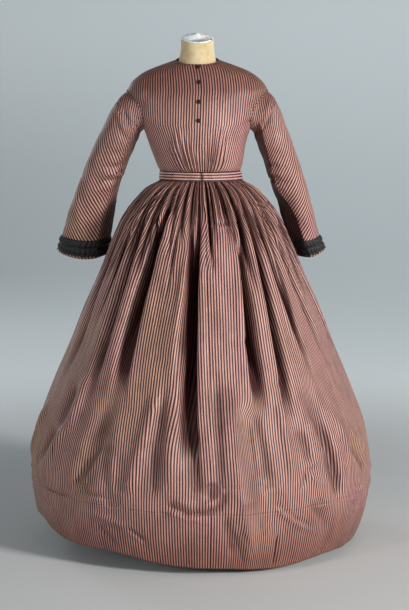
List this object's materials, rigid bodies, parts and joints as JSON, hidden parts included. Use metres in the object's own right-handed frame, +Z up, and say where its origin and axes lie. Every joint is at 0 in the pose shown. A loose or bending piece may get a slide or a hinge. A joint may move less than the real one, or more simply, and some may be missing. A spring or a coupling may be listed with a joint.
{
  "type": "striped silk day dress on a limbless dress form with stand",
  "caption": "Girl's long-sleeved striped silk day dress with a gathered bodice and a full floor-length skirt, on a limbless dress form and stand.",
  "frame": {"origin": "middle of the stand's foot, on the floor", "axes": "+Z up, -Y towards the dress's front, +X towards the right as seen from the front"},
  "size_m": [0.8678, 0.8512, 1.291],
  "materials": {
    "striped_silk": "crisp silk with narrow pinkish-tan and plum-brown stripes, soft sheen",
    "black_ribbon": "ruched black ribbon",
    "button_velvet": "dark covered buttons",
    "form_canvas": "aged cream canvas",
    "form_plaster": "chipped white paint on the neck's cut",
    "stand_iron": "dark painted iron"
  },
  "bodies": {
    "root": {"bodice_front_left": "striped_silk", "bodice_front_right": "striped_silk", "bodice_back": "striped_silk", "waistband": "striped_silk", "sleeve_left_upper": "striped_silk", "sleeve_left_under": "striped_silk", "sleeve_right_upper": "striped_silk", "sleeve_right_under": "striped_silk", "skirt_right_front": "striped_silk", "skirt_right_side": "striped_silk", "skirt_right_back": "striped_silk", "skirt_left_back": "striped_silk", "skirt_left_side": "striped_silk", "skirt_left_front": "striped_silk", "button_1": "button_velvet", "button_2": "button_velvet", "button_3": "button_velvet", "button_4": "button_velvet", "wrist_trim_left": "black_ribbon", "wrist_trim_right": "black_ribbon", "form_body": "form_canvas", "form_neck_cap": "form_plaster", "stand_pole": "stand_iron", "stand_foot": "stand_iron"}
  },
  "joints": []
}
